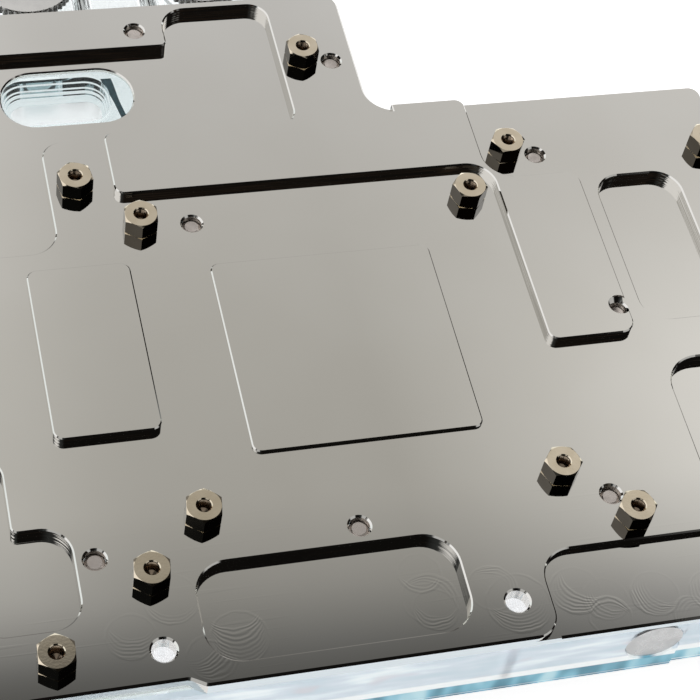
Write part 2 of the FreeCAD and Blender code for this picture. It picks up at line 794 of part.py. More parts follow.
os.makedirs("parts", exist_ok=True)
write("cold_plate", cold_plate())
write("cover", cover())
write("terminal_block", terminal_block())
write("main_gasket", main_gasket())
write("island_seal", island_seal())
write("jet_plate", jet_plate())
write("inlet_seal", passage_seal(inlet_x))
write("outlet_seal", passage_seal(outlet_x))
write("inlet_plug", port_plug(inlet_x))
write("outlet_plug", port_plug(outlet_x))
write("inlet_plug_seal", plug_seal(inlet_x))
write("outlet_plug_seal", plug_seal(outlet_x))
write("cover_screws", cover_screws())
write("terminal_screws", terminal_screws())
write("badge_disc", badge_disc())
for number, (x, y, turn) in enumerate(standoff_places(), start=1):
    write("standoff_%02d" % number, standoff(x, y, turn))
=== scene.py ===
import bpy
import bmesh
import math
from mathutils import Matrix, Vector


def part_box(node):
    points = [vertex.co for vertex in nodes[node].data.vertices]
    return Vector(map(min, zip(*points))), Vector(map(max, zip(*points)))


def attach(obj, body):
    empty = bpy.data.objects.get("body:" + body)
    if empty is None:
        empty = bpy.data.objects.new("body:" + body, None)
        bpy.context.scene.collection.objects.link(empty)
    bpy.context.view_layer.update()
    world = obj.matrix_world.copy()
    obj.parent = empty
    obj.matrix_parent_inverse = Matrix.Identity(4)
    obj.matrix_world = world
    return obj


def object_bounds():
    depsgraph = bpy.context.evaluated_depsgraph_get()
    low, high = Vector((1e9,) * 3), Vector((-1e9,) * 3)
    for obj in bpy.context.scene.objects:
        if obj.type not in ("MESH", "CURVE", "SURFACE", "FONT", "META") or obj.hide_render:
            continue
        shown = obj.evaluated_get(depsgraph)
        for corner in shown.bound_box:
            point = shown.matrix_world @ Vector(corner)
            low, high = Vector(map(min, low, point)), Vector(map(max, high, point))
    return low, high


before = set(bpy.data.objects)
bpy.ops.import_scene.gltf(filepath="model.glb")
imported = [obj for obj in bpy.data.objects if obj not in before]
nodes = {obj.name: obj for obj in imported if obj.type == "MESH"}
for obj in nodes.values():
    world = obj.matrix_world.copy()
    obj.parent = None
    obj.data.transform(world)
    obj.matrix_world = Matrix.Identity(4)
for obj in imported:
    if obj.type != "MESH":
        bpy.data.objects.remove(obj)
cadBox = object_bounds()
scene = bpy.context.scene
print("frame loaded,", len(nodes), "nodes")


# Short names for building node trees. A range is (from low, from high) or (from low, from high, to low, to high).
class Tree:
    def __init__(self, nodeTree):
        self.nodes = nodeTree.nodes
        self.links = nodeTree.links

    def add(self, kind, **values):
        node = self.nodes.new(kind)
        for key, value in values.items():
            setattr(node, key, value)
        return node

    def feed(self, socket, value):
        # a link where the value is a socket, a constant otherwise
        if isinstance(value, bpy.types.NodeSocket):
            self.links.new(value, socket)
        elif value is not None:
            socket.default_value = value

    def math(self, operation, a, b=None, c=None, clamp=False):
        node = self.add("ShaderNodeMath", operation=operation, use_clamp=clamp)
        for socket, value in zip(node.inputs, (a, b, c)):
            self.feed(socket, value)
        return node.outputs[0]

    def product(self, first, *others):
        for other in others:
            first = self.math("MULTIPLY", first, other)
        return first

    def smooth(self, value, low, high, toLow=0.0, toHigh=1.0):
        node = self.add("ShaderNodeMapRange", interpolation_type="SMOOTHSTEP")
        names = ("Value", "From Min", "From Max", "To Min", "To Max")
        for name, v in zip(names, (value, low, high, toLow, toHigh)):
            self.feed(node.inputs[name], v)
        return node.outputs[0]

    def ramp(self, value, stops, stepped=False):
        node = self.add("ShaderNodeValToRGB")
        if stepped:
            node.color_ramp.interpolation = "CONSTANT"
        elements = node.color_ramp.elements
        while len(elements) < len(stops):
            elements.new(0.5)
        for element, (position, colour) in zip(elements, stops):
            element.position = position
            element.color = (*colour, 1.0)
        self.feed(node.inputs[0], value)
        return node.outputs[0]

    def mix(self, factor, a, b, blend="MIX"):
        node = self.add("ShaderNodeMix", data_type="RGBA", blend_type=blend)
        self.feed(node.inputs[0], factor)
        for socket, value in ((node.inputs[6], a), (node.inputs[7], b)):
            if isinstance(value, tuple):
                value = (*value, 1.0)
            self.feed(socket, value)
        return node.outputs[2]

    def split(self, vector):
        node = self.add("ShaderNodeSeparateXYZ")
        self.feed(node.inputs[0], vector)
        return node.outputs

    def noise(self, vector, scale=1.0, detail=0.0, output="Fac"):
        node = self.add("ShaderNodeTexNoise")
        for name, value in (("Vector", vector), ("Scale", scale), ("Detail", detail)):
            self.feed(node.inputs[name], value)
        return node.outputs[output]

    def stretch(self, vector, scale, turn=(0.0, 0.0, 0.0)):
        node = self.add("ShaderNodeMapping")
        node.inputs["Rotation"].default_value = [math.radians(degrees) for degrees in turn]
        node.inputs["Scale"].default_value = scale
        self.feed(node.inputs["Vector"], vector)
        return node.outputs[0]

    def upright(self, low=0.2, high=0.4):
        # 1 on faces that stand up, 0 on level and sloping ones
        surface = self.add("ShaderNodeNewGeometry")
        level = self.math("ABSOLUTE", self.split(surface.outputs["True Normal"])[2])
        return self.smooth(level, low, high, 1.0, 0.0)

    def bump(self, height, distance, strength=1.0):
        node = self.add("ShaderNodeBump")
        node.inputs["Strength"].default_value = strength
        node.inputs["Distance"].default_value = distance
        self.feed(node.inputs["Height"], height)
        return node.outputs[0]


def newMaterial(name):
    material = bpy.data.materials.new(name)
    material.use_nodes = True
    tree = Tree(material.node_tree)
    shader = tree.nodes["Principled BSDF"]
    coords = tree.add("ShaderNodeTexCoord")
    return material, tree, shader, coords.outputs["Object"]


def newGroup(name, inputs, output):
    # A node group that takes a Vector and these values, and puts out one value
    group = bpy.data.node_groups.new(name, "ShaderNodeTree")
    group.interface.new_socket(name="Vector", in_out="INPUT", socket_type="NodeSocketVector")
    for key in inputs:
        group.interface.new_socket(name=key, in_out="INPUT", socket_type="NodeSocketFloat")
    group.interface.new_socket(name=output, in_out="OUTPUT", socket_type="NodeSocketFloat")
    tree = Tree(group)
    return group, tree, tree.add("NodeGroupInput").outputs, tree.add("NodeGroupOutput").inputs[output]


def useGroup(tree, group, **values):
    node = tree.add("ShaderNodeGroup")
    node.node_tree = group
    for name, value in values.items():
        tree.feed(node.inputs[name], value)
    return node.outputs[0]


swirlMarks = {
    "waver": 2.2,
    "endFade": (-0.0004, 0.0003, 1.0, 0.0),
    "rimFade": (0.30, 0.85),
    "circleLine": (0.00002, 0.00030, 1.0, 0.0),
    "circleWeight": 0.75,
    "circleLean": 0.25,
}


def makeSwirlGroup(look):
    # Faint crescents that a cutter leaves one behind the other, and the circle where it lifted off
    group, t, start, end = newGroup("toolSwirl", (
        "Uneven", "CentreX", "CentreY", "Turn", "Length", "Radius", "Step", "Crescents", "Circle"), "Height")
    x, y, _ = t.split(start["Vector"])
    dx = t.math("SUBTRACT", x, start["CentreX"])
    dy = t.math("SUBTRACT", y, start["CentreY"])
    radius = start["Radius"]
    along = t.math("MULTIPLY_ADD", dx, t.math("COSINE", start["Turn"]),
                   t.math("MULTIPLY", dy, t.math("SINE", start["Turn"])))
    squared = t.math("MULTIPLY_ADD", dx, dx, t.math("MULTIPLY", dy, dy))
    left = t.math("SUBTRACT", t.math("MULTIPLY", radius, radius), squared)
    reach = t.math("SQRT", t.math("MULTIPLY_ADD", along, along, left))
    # how far the cutter's middle had come when its rim passed here
    passed = t.math("SUBTRACT", along, reach)
    phase = t.math("MULTIPLY_ADD", start["Uneven"], look["waver"], t.math("DIVIDE", passed, start["Step"]))
    wave = t.math("MULTIPLY_ADD", t.math("COSINE", t.math("MULTIPLY", phase, math.tau)), 0.5, 0.5)
    half = t.math("MULTIPLY", start["Length"], 0.5)
    middle = t.math("ABSOLUTE", t.math("ADD", passed, half))
    inside = t.smooth(t.math("SUBTRACT", middle, half), *look["endFade"])
    within = t.smooth(t.math("DIVIDE", reach, radius), *look["rimFade"])
    crescents = t.product(wave, inside, within)
    off = t.math("ABSOLUTE", t.math("SUBTRACT", t.math("SQRT", squared), radius))
    circle = t.smooth(off, *look["circleLine"])
    # the circle is stronger on the side the cutter moved to
    weight = t.math("MULTIPLY_ADD", t.math("DIVIDE", along, radius), look["circleLean"], look["circleWeight"])
    circle = t.math("MULTIPLY", circle, t.math("MULTIPLY", weight, start["Circle"]))
    t.feed(end, t.math("MULTIPLY_ADD", crescents, start["Crescents"], circle))
    return group


polishMarks = {
    "detail": 2.0,
    "range": (0.3, 0.7),
}


def makeSmearGroup(look):
    # Soft uneven polish: a mask between 0 and 1 that changes slowly over the surface
    group, t, start, end = newGroup("handPolish", ("Scale",), "Mask")
    t.feed(end, t.smooth(t.noise(start["Vector"], start["Scale"], look["detail"]), *look["range"]))
    return group


swirlGroup = makeSwirlGroup(swirlMarks)
smearGroup = makeSmearGroup(polishMarks)


plateFinish = {
    "nickel": (0.800, 0.785, 0.755),
    "nickelWorn": (0.780, 0.763, 0.730),
    "smearScale": 45.0,
    "smooth": 0.018,
    "dull": 0.045,
    # the near side is tinted with a painted reflection of the acrylic below it
    "nearSideReflection": (0.750, 0.820, 0.860),
    "nearSideFrom": 0.00002,
    "nearSideTo": 0.00004,
    "relief": 0.000012,
    "swirlStrength": 0.12,
    "swirlStep": 0.0006,
    "circleShare": 0.8,
    # the hand that held the cutter wasn't quite steady
    "wobbleScale": 900.0,
    "wobble": (0.00025, 0.00025, 0.0),
    "patchScale": 260.0,
    "patchFade": (0.30, 0.62, 0.25, 1.0),
    # long fine scratches along the plate
    "scratchStrength": 0.035,
    "scratchTurn": (0.0, 0.0, 3.0),
    "scratchStretch": (45.0, 1500.0, 45.0),
    "scratchDetail": 1.0,
    "scratchRange": (0.60, 0.75),
    # level cutter lines on the walls
    "wallStrength": 2.0,
    "wallStretch": (60.0, 60.0, 4200.0),
    "wallTilt": (0.1, 0.3),
    # Lanes of swirls that don't meet along x, from left to right, in millimetres.
    # Each is middle x, middle y, side it bulges to in degrees, length, radius, strength.
    "laneReach": 60.0,
    "lanes": [
        [(-39.5, -43.9, 260, 3.0, 3.4, 0.5), (-24.7, -45.3, 272, 5.5, 4.0, 0.9),
         (2.9, -43.5, 50, 1.5, 4.0, 0.5), (11.6, -44.0, 40, 1.5, 3.5, 0.7),
         (23.8, -45.6, 222, 3.4, 3.7, 0.9), (35.1, -47.8, 205, 3.0, 3.5, 1.0),
         (43.7, -48.6, 205, 3.0, 3.3, 0.8), (52.0, -46.0, 210, 3.0, 3.4, 0.8)],
        [(-33.2, -39.0, 270, 1.4, 3.8, 0.7), (2.4, -39.2, 265, 1.2, 3.1, 0.7),
         (14.7, -46.9, 275, 3.0, 4.6, 0.9), (27.7, -47.6, 215, 2.2, 3.3, 0.5),
         (39.6, -51.8, 130, 2.0, 2.8, 0.6)],
        [(-29.3, -48.6, 305, 4.0, 3.4, 0.8), (3.2, -45.2, 250, 2.0, 3.2, 0.6),
         (27.5, -50.3, 85, 1.3, 3.1, 0.9)],
    ],
}


def laneHeight(t, look, lane, place, x, uneven):
    # One lane's marks, with the swirl picked by x from two stepped tables.
    # The tables hold places as shares of the lane's reach, turns as shares of a round and sizes in centimetres.
    reach = look["laneReach"] / 1000

    def share(millimetres):
        return (millimetres / 1000 + reach) / (2 * reach)

    where, shape = [], []
    border = 0.0
    for index, (cx, cy, turn, length, radius, strength) in enumerate(lane):
        if index:
            before = lane[index - 1]
            border = share((before[0] + before[4] + cx - radius) / 2)
        where.append((border, (share(cx), share(cy), turn / 360)))
        shape.append((border, (length / 10, radius / 10, strength)))
    spot = t.math("MULTIPLY_ADD", x, 1 / (2 * reach), 0.5)
    tables = []
    for stops in (where, shape):
        table = t.add("ShaderNodeSeparateColor")
        t.feed(table.inputs[0], t.ramp(spot, stops, stepped=True))
        tables.append(table.outputs[:3])
    (cx, cy, turn), (length, radius, strength) = tables
    return useGroup(
        t, swirlGroup, Vector=place, Uneven=uneven, Step=look["swirlStep"],
        CentreX=t.math("MULTIPLY_ADD", cx, 2 * reach, -reach),
        CentreY=t.math("MULTIPLY_ADD", cy, 2 * reach, -reach),
        Turn=t.math("MULTIPLY", turn, math.tau),
        Length=t.math("MULTIPLY", length, 0.01),
        Radius=t.math("MULTIPLY", radius, 0.01),
        Crescents=strength, Circle=t.math("MULTIPLY", strength, look["circleShare"]))


def makePlate(look):
    material, t, shader, place = newMaterial("nickelPlate")
    smear = useGroup(t, smearGroup, Vector=place, Scale=look["smearScale"])
    x, y, _ = t.split(place)
    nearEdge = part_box("cold_plate")[0].y
    # the near side's wall gets a painted reflection of the acrylic below
    nearSideReflection = t.smooth(y, nearEdge + look["nearSideFrom"], nearEdge + look["nearSideTo"], 1.0, 0.0)
    metal = t.mix(smear, look["nickel"], look["nickelWorn"])
    t.feed(shader.inputs["Base Color"], t.mix(nearSideReflection, metal, look["nearSideReflection"]))
    t.feed(shader.inputs["Roughness"], t.smooth(smear, 0.0, 1.0, look["smooth"], look["dull"]))
    shader.inputs["Metallic"].default_value = 1.0

    shift = t.add("ShaderNodeVectorMath", operation="MULTIPLY_ADD")
    t.feed(shift.inputs[0], t.noise(place, look["wobbleScale"], output="Color"))
    shift.inputs[1].default_value = look["wobble"]
    t.feed(shift.inputs[2], place)
    patchy = t.noise(place, look["patchScale"])
    swirls = 0.0
    for lane in look["lanes"]:
        swirls = t.math("ADD", swirls, laneHeight(t, look, lane, shift.outputs[0], x, patchy))
    swirls = t.math("MULTIPLY", swirls, t.smooth(patchy, *look["patchFade"]))

    lines = t.noise(t.stretch(place, look["scratchStretch"], look["scratchTurn"]), detail=look["scratchDetail"])
    scratches = t.math("MULTIPLY", t.smooth(lines, *look["scratchRange"]), smear)
    wallLines = t.math("MULTIPLY", t.noise(t.stretch(place, look["wallStretch"])), t.upright(*look["wallTilt"]))
    height = t.math("ADD", t.math("MULTIPLY", swirls, look["swirlStrength"]),
                    t.math("MULTIPLY", scratches, look["scratchStrength"]))
    height = t.math("MULTIPLY_ADD", wallLines, look["wallStrength"], height)
    t.feed(shader.inputs["Normal"], t.bump(height, look["relief"]))
    return material


acrylicFinish = {
    "clear": (0.740, 0.820, 0.830),
    "blockClear": (0.930, 0.965, 0.970),
    "blockEdge": 0.00005,
    "index": 1.49,
    "smearScale": 120.0,
    "dull": 0.04,
    # where the component window and the two through holes lie in the cover
    "window": ((-0.0450, 0.0512), (-0.0258, 0.0626)),
    "holes": [((-0.0378, -0.0488), (-0.0334, -0.0444)), ((0.0123, -0.0488), (0.0167, -0.0444))],
    # the window's step walls get a painted dark teal shade against their pale ledges, standing for the refraction
    # seen in them; the deep wall under them is white
    "stepsDeep": 0.00262,
    "stepWallPaintedShade": (0.180, 0.270, 0.295),
    "deepWall": (0.960, 0.985, 0.990),
    "milled": 0.55,
    "holeWall": (0.960, 0.900, 0.920),
    "drilled": 0.22,
    # a dark blade of refracted light on the ledge right of the window's opening
    "blade": (0.0008, 0.0035, 0.0050),
    "bladeSlope": 0.195,
    "bladeAt": -0.01495,
    "bladeHalf": (0.0545, 0.0600, 0.00048, 0.00085),
    "bladeMiddle": 0.0558,
    "bladeReach": 0.0045,
    "bladeDeep": 0.0001,
    # The near side is a painted refraction: cloudy blue greys with faint pink, a pale band, then a cyan strip
    # where the underside shows.
    # Its stops follow the clouds, its heights are z in metres.
    "sideDepth": 0.0009,
    "sideDepthEnd": 0.00099,
    "sideBlur": 0.32,
    "clouds": {"stretch": (70.0, 1.0, 330.0), "turn": 4.0, "detail": 2.0, "bounds": (0.30, 0.70)},
    "sideStops": [
        (0.00, (0.400, 0.520, 0.620)),
        (0.30, (0.480, 0.575, 0.675)),
        (0.55, (0.540, 0.620, 0.730)),
        (0.80, (0.680, 0.790, 0.870)),
        (1.00, (0.900, 0.970, 1.000))],
    "pink": (0.533, 0.410, 0.450),
    "pinkClouds": {"stretch": (110.0, 1.0, 260.0), "turn": 0.0, "detail": 1.0, "bounds": (0.58, 0.70)},
    "pinkBelow": (-0.0045, -0.0060, 0.0, 0.5),
    "pale": (1.0, 1.0, 1.0),
    "paleFrom": -0.01005,
    "paleTo": -0.01053,
    "stripFrom": -0.01165,
    "stripTo": -0.01195,
    "shards": {"stretch": (240.0, 1.0, 70.0), "turn": 35.0, "detail": 1.0, "bounds": (0.32, 0.68)},
    "stripStops": [
        (0.00, (0.006, 0.067, 0.126)),
        (0.32, (0.030, 0.190, 0.310)),
        (0.55, (0.060, 0.290, 0.440)),
        (0.75, (0.120, 0.400, 0.550)),
        (1.00, (0.330, 0.640, 0.740))],
    "line": (0.75, 0.90, 0.95),
    "lineAt": -0.01440,
    "lineFade": (0.00008, 0.00018, 0.8, 0.0),
}


def paintedSideRefraction(t, look, place, z):
    # The near side's colours: a painted refraction of what shows through the acrylic
    def cloud(stretch, turn, detail, bounds):
        return t.smooth(t.noise(t.stretch(place, stretch, (0.0, turn, 0.0)), detail=detail), *bounds)

    colour = t.ramp(cloud(**look["clouds"]), look["sideStops"])
    pinkness = t.math("MULTIPLY", cloud(**look["pinkClouds"]), t.smooth(z, *look["pinkBelow"]))
    colour = t.mix(pinkness, colour, look["pink"])
    colour = t.mix(t.smooth(z, look["paleFrom"], look["paleTo"]), colour, look["pale"])
    line = t.smooth(t.math("ABSOLUTE", t.math("SUBTRACT", z, look["lineAt"])), *look["lineFade"])
    strip = t.mix(line, t.ramp(cloud(**look["shards"]), look["stripStops"]), look["line"])
    return t.mix(t.smooth(z, look["stripFrom"], look["stripTo"]), colour, strip)


def makeAcrylic(look):
    material, t, shader, place = newMaterial("clearAcrylic")
    shader.inputs["IOR"].default_value = look["index"]
    shader.inputs["Transmission Weight"].default_value = 1.0
    smear = useGroup(t, smearGroup, Vector=place, Scale=look["smearScale"])
    x, y, z = t.split(place)
    low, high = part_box("cover")
    upright = t.upright()

    def wallsIn(area):
        # the upright walls inside an area seen from above
        (x0, y0), (x1, y1) = area
        return t.product(upright, t.math("COMPARE", x, (x0 + x1) / 2, (x1 - x0) / 2),
                         t.math("COMPARE", y, (y0 + y1) / 2, (y1 - y0) / 2))

    inBlock = t.math("GREATER_THAN", y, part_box("terminal_block")[0].y - look["blockEdge"])
    colour = t.mix(inBlock, look["clear"], look["blockClear"])
    inWindow = wallsIn(look["window"])
    onSteps = t.math("GREATER_THAN", z, high.z - look["stepsDeep"])
    # inside the window the step walls take the painted shade, the deep wall its white
    colour = t.mix(inWindow, colour, t.mix(onSteps, look["deepWall"], look["stepWallPaintedShade"]))
    milled = t.math("SUBTRACT", look["milled"], t.math("MULTIPLY", onSteps, look["milled"]))
    rough = t.math("MULTIPLY", inWindow, milled)

    half = t.smooth(y, *look["bladeHalf"])
    blade = t.math("COMPARE", t.math("MULTIPLY_ADD", y, look["bladeSlope"], x), look["bladeAt"], half)
    blade = t.product(blade, t.math("COMPARE", y, look["bladeMiddle"], look["bladeReach"]),
                      t.math("GREATER_THAN", z, high.z - look["bladeDeep"]))
    colour = t.mix(blade, colour, look["blade"])

    for area in look["holes"]:
        inHole = wallsIn(area)
        colour = t.mix(inHole, colour, look["holeWall"])
        rough = t.math("MULTIPLY_ADD", inHole, look["drilled"], rough)

    side = t.smooth(y, low.y + look["sideDepth"], low.y + look["sideDepthEnd"], 1.0, 0.0)
    # the near side's base colour is the painted refraction
    t.feed(shader.inputs["Base Color"], t.mix(side, colour, paintedSideRefraction(t, look, place, z)))
    rough = t.math("MULTIPLY_ADD", side, look["sideBlur"], rough)
    t.feed(shader.inputs["Roughness"], t.math("ADD", rough, t.smooth(smear, 0.0, 1.0, 0.0, look["dull"])))
    return material


# Turned and plated metals. Upright walls may get painted shade (sideShade), darker copies of their colours
# that stand for the dark surroundings they reflect, or be duller (sideDull), which stands for broken
# surroundings.
turnedFinishes = {
    "standoffNickel": {"colour": (0.84, 0.74, 0.59), "worn": (0.77, 0.67, 0.52), "dull": 0.07,
                       "grain": 3000.0, "sideShade": 0.09},
    # the threads' nickel is darker than the standoffs' as painted shade inside the bores
    "shadedThreadNickel": {"colour": (0.46, 0.36, 0.27), "worn": (0.34, 0.26, 0.19), "dull": 0.20, "grain": 3000.0},
    "screwSteel": {"colour": (0.88, 0.81, 0.77), "worn": (0.78, 0.71, 0.67), "dull": 0.45, "grain": 2500.0},
    "plugNickel": {"colour": (0.86, 0.85, 0.83), "worn": (0.80, 0.79, 0.78), "dull": 0.14,
                   "grain": 1500.0, "sideDull": 0.40},
    "jetSteel": {"colour": (0.55, 0.55, 0.56), "worn": (0.50, 0.50, 0.51), "dull": 0.3, "grain": 900.0},
    "discSteel": {"colour": (0.67, 0.67, 0.67), "worn": (0.60, 0.60, 0.60), "dull": 0.4, "grain": 1200.0},
}
turnedRelief = {
    "smearScale": 400.0,
    "smoothShare": 0.6,
    "grainDetail": 2.0,
    "strength": 0.04,
    "distance": 0.00005,
}


def makeTurned(name):
    look = turnedFinishes[name]
    relief = turnedRelief
    material, t, shader, place = newMaterial(name)
    smear = useGroup(t, smearGroup, Vector=place, Scale=relief["smearScale"])
    upright = t.upright()
    colours = (look["colour"], look["worn"])
    shade = look.get("sideShade", 1.0)
    shaded = [tuple(v * shade for v in colour) for colour in colours]
    # upright walls take the painted shade copies of the colours
    t.feed(shader.inputs["Base Color"], t.mix(upright, t.mix(smear, *colours), t.mix(smear, *shaded)))
    rough = t.smooth(smear, 0.0, 1.0, look["dull"] * relief["smoothShare"], look["dull"])
    t.feed(shader.inputs["Roughness"], t.math("MULTIPLY_ADD", upright, look.get("sideDull", 0.0), rough))
    shader.inputs["Metallic"].default_value = 1.0
    grain = t.noise(place, look["grain"], relief["grainDetail"])
    t.feed(shader.inputs["Normal"], t.bump(grain, relief["distance"], relief["strength"]))
    return material


rubberFinish = {
    "colour": (0.02, 0.02, 0.021),
    "worn": (0.035, 0.035, 0.036),
    "smearScale": 500.0,
    "smooth": 0.45,
    "dull": 0.65,
}


def makeRubber(look):
    material, t, shader, place = newMaterial("sealRubber")
    smear = useGroup(t, smearGroup, Vector=place, Scale=look["smearScale"])
    t.feed(shader.inputs["Base Color"], t.mix(smear, look["colour"], look["worn"]))
    t.feed(shader.inputs["Roughness"], t.smooth(smear, 0.0, 1.0, look["smooth"], look["dull"]))
    return material


clearAcrylic = makeAcrylic(acrylicFinish)
standoffNickel = makeTurned("standoffNickel")
plugNickel = makeTurned("plugNickel")
sealRubber = makeRubber(rubberFinish)

# the nodes that aren't named here are standoffs or rubber
finishes = {
    "cold_plate": makePlate(plateFinish),
    "cover": clearAcrylic,
    "terminal_block": clearAcrylic,
    "jet_plate": makeTurned("jetSteel"),
    "inlet_plug": plugNickel,
    "outlet_plug": plugNickel,
    "cover_screws": makeTurned("screwSteel"),
    "terminal_screws": plugNickel,
    "badge_disc": makeTurned("discSteel"),
}
for name, node in nodes.items():
    finish = standoffNickel if name.startswith("standoff") else finishes.get(name, sealRubber)
    node.data.materials.clear()
    node.data.materials.append(finish)
print("materials done")


threadCut = {
    "standoffs": 11,
    "wall": 0.00103,
    "crest": 0.00088,
    "pitch": 0.00040,
    "mouth": 0.00030,
    "deep": 0.00244,
    "coneRoom": 0.0005,
    "steps": 28,
    "merge": 0.000001,
}


def makeThreads(look):
    # Rings for the tapped thread in each standoff's bore, down to the cone of the drill point, all in a darker
    # nickel that is painted shade for the bore
    mesh = bpy.data.meshes.new("standoffThreads")
    bm = bmesh.new()
    for number in range(1, look["standoffs"] + 1):
        low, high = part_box("standoff_%02d" % number)
        middle = Vector(((low.x + high.x) / 2, (low.y + high.y) / 2, high.z))
        depth = look["mouth"]
        points = [(look["wall"], depth)]
        while depth + look["pitch"] < look["deep"] - look["coneRoom"]:
            points.append((look["crest"], depth + look["pitch"] / 2))
            depth += look["pitch"]
            points.append((look["wall"], depth))
        points += [(look["crest"], depth + look["pitch"] / 2), (0.0, look["deep"])]
        verts = [bm.verts.new(middle + Vector((radius, 0.0, -down))) for radius, down in points]
        edges = [bm.edges.new(pair) for pair in zip(verts, verts[1:])]
        bmesh.ops.spin(bm, geom=verts + edges, cent=middle, axis=(0.0, 0.0, 1.0), angle=math.tau,
                       steps=look["steps"], use_merge=True)
    bmesh.ops.remove_doubles(bm, verts=bm.verts, dist=look["merge"])
    bmesh.ops.recalc_face_normals(bm, faces=bm.faces)
    bm.to_mesh(mesh)
    bm.free()
    threads = bpy.data.objects.new("standoffThreads", mesh)
    scene.collection.objects.link(threads)
    mesh.materials.append(makeTurned("shadedThreadNickel"))
    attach(threads, "root")


makeThreads(threadCut)
print("threads done")


studio = {
    "floorSize": 6.0,
    "floorWhite": 0.80,
    "floorRough": 0.12,
    "floorGlow": 0.77,
    "floorGlowInGlass": 0.36,
    "floorGlowInMetal": 0.54,
    "lampSize": 1.2,
    "lamps": {"key": ((-0.5, 0.6, 1.3), 9.0), "fill": ((0.9, -0.5, 1.1), 4.0)},
}


def makeFloor(look):
    mesh = bpy.data.meshes.new("floor")
    bm = bmesh.new()
    bmesh.ops.create_grid(bm, x_segments=1, y_segments=1, size=look["floorSize"] / 2)
    bm.to_mesh(mesh)
    bm.free()
    floor = bpy.data.objects.new("floor", mesh)
    scene.collection.objects.link(floor)
    floor.location.z = cadBox[0][2]
    material, t, shader = newMaterial("paleFloor")[:3]
    shader.inputs["Base Color"].default_value = (look["floorWhite"],) * 3 + (1.0,)
    shader.inputs["Roughness"].default_value = look["floorRough"]
    rays = t.add("ShaderNodeLightPath").outputs
    # a ray through glass counts as glossy too
    inMetal = t.math("SUBTRACT", rays["Is Glossy Ray"], rays["Is Transmission Ray"], clamp=True)
    glow = t.math("MULTIPLY", rays["Is Camera Ray"], look["floorGlow"])
    glow = t.math("MULTIPLY_ADD", inMetal, look["floorGlowInMetal"], glow)
    glow = t.math("MULTIPLY_ADD", rays["Is Transmission Ray"], look["floorGlowInGlass"], glow)
    shader.inputs["Emission Color"].default_value = (1.0, 1.0, 1.0, 1.0)
    t.feed(shader.inputs["Emission Strength"], glow)
    mesh.materials.append(material)


def makeLamp(name, place, watts, size):
    data = bpy.data.lights.new(name, "AREA")
    data.energy = watts
    data.size = size
    lamp = bpy.data.objects.new(name, data)
    scene.collection.objects.link(lamp)
    lamp.location = place
    lamp.rotation_euler = (-Vector(place)).to_track_quat("-Z", "Y").to_euler()
    lamp.visible_glossy = False
    lamp.visible_camera = False
    lamp.visible_transmission = False


# The studio around the object, as its mirrors meet it. x is right, y is away and z is up in a direction;
# side is x / z and far is y / z. Each range fades a part of the studio in or out.
sky = {
    "lowest": 0.03,
    # a bright wall beyond the object, from its dark foot up, in bands that lean a little
    "lean": 0.05,
    "leanFrom": 0.25,
    "wallReach": (0.40, 2.40),
    "wallStops": [
        (0.0000, (0.006, 0.0055, 0.005)),
        (0.0440, (0.110, 0.110, 0.105)),
        (0.0520, (0.155, 0.155, 0.150)),
        (0.0720, (0.320, 0.315, 0.295)),
        (0.1000, (0.440, 0.430, 0.400)),
        (0.1520, (0.485, 0.475, 0.445)),
        (0.2080, (0.540, 0.530, 0.505)),
        (0.3000, (0.615, 0.610, 0.600)),
        (0.3500, (0.630, 0.625, 0.620)),
        (0.4200, (0.480, 0.475, 0.470)),
        (0.6500, (0.280, 0.275, 0.270)),
        (1.0000, (0.110, 0.108, 0.105))],
    # towards the left the wall is a little darker, up to the left window
    "leftShade": (0.10, 0.11, 0.11),
    "leftShadeSide": (-0.45, 0.00, 0.3, 0.0),
    # the wall brightens to the right, and a little at the left too
    "rightGlowFrom": 0.31,
    "rightGlowRise": 1.80,
    "rightGlowMost": 0.6,
    "rightGlowFar": (0.60, 0.86, 1.0, 0.22),
    "rightGlowSlope": 0.3,
    "rightGlowCorner": (0.52, 0.74),
    "rightGlowSide": (0.95, 1.10, 1.0, 0.0),
    "leftGlowSide": (0.06, 0.17, 0.115, 0.0),
    "leftGlowFar": (0.50, 0.56),
    # dark beyond the bright right part
    "pastRight": (0.010, 0.009, 0.008),
    "pastRightCorner": (0.7, 0.9),
    "pastRightSide": (0.9, 1.05),
    "leftWindow": (1.0, 1.0, 1.0),
    "leftWindowSide": (-0.66, -0.52, 1.0, 0.0),
    "leftWindowFar": (-0.68, -0.52),
    "leftWindowSlope": 0.5,
    "leftWindowCorner": (-0.12, 0.0, 1.0, 0.0),
    # soft light behind the camera on both sides, for views from the far side
    "behind": (0.50, 0.50, 0.49),
    "behindY": (-0.45, -0.25, 1.0, 0.0),
    "behindZ": (0.55, 0.70, 1.0, 0.0),
    "behindRight": (0.35, 0.50),
    "behindLeft": (-0.40, -0.25, 1.0, 0.0),
    # light near the horizon, but not beyond the object to the right
    "low": (0.95, 1.0, 1.0),
    "lowZ": (0.18, 0.38, 1.0, 0.0),
    "lowY": (0.20, 0.42, 1.0, 0.0),
    "lowX": (0.45, 0.70, 1.0, 0.0),
    "lowRightZ": (0.17, 0.24, 1.0, 0.0),
    "lowRightFrom": (0.38, 0.44),
    "lowRightTo": (0.51, 0.57, 1.0, 0.0),
    "lowFarZ": (0.14, 0.24, 1.0, 0.0),
    "lowFarSlope": 0.6,
    "lowFarLeft": (-0.1, 0.05, 1.0, 0.0),
    # a dim brown band behind the camera, for the walls that face it
    "brown": (0.020, 0.014, 0.010),
    "brownAt": 0.86,
    "brownFar": (0.03, 0.09, 1.0, 0.0),
    "brownY": (-0.3, -0.2, 1.0, 0.0),
    # a soft grey panel straight overhead, which only views from above meet in the plate
    "overhead": (0.36, 0.36, 0.35),
    "overheadReach": (0.30, 0.42, 1.0, 0.0),
}


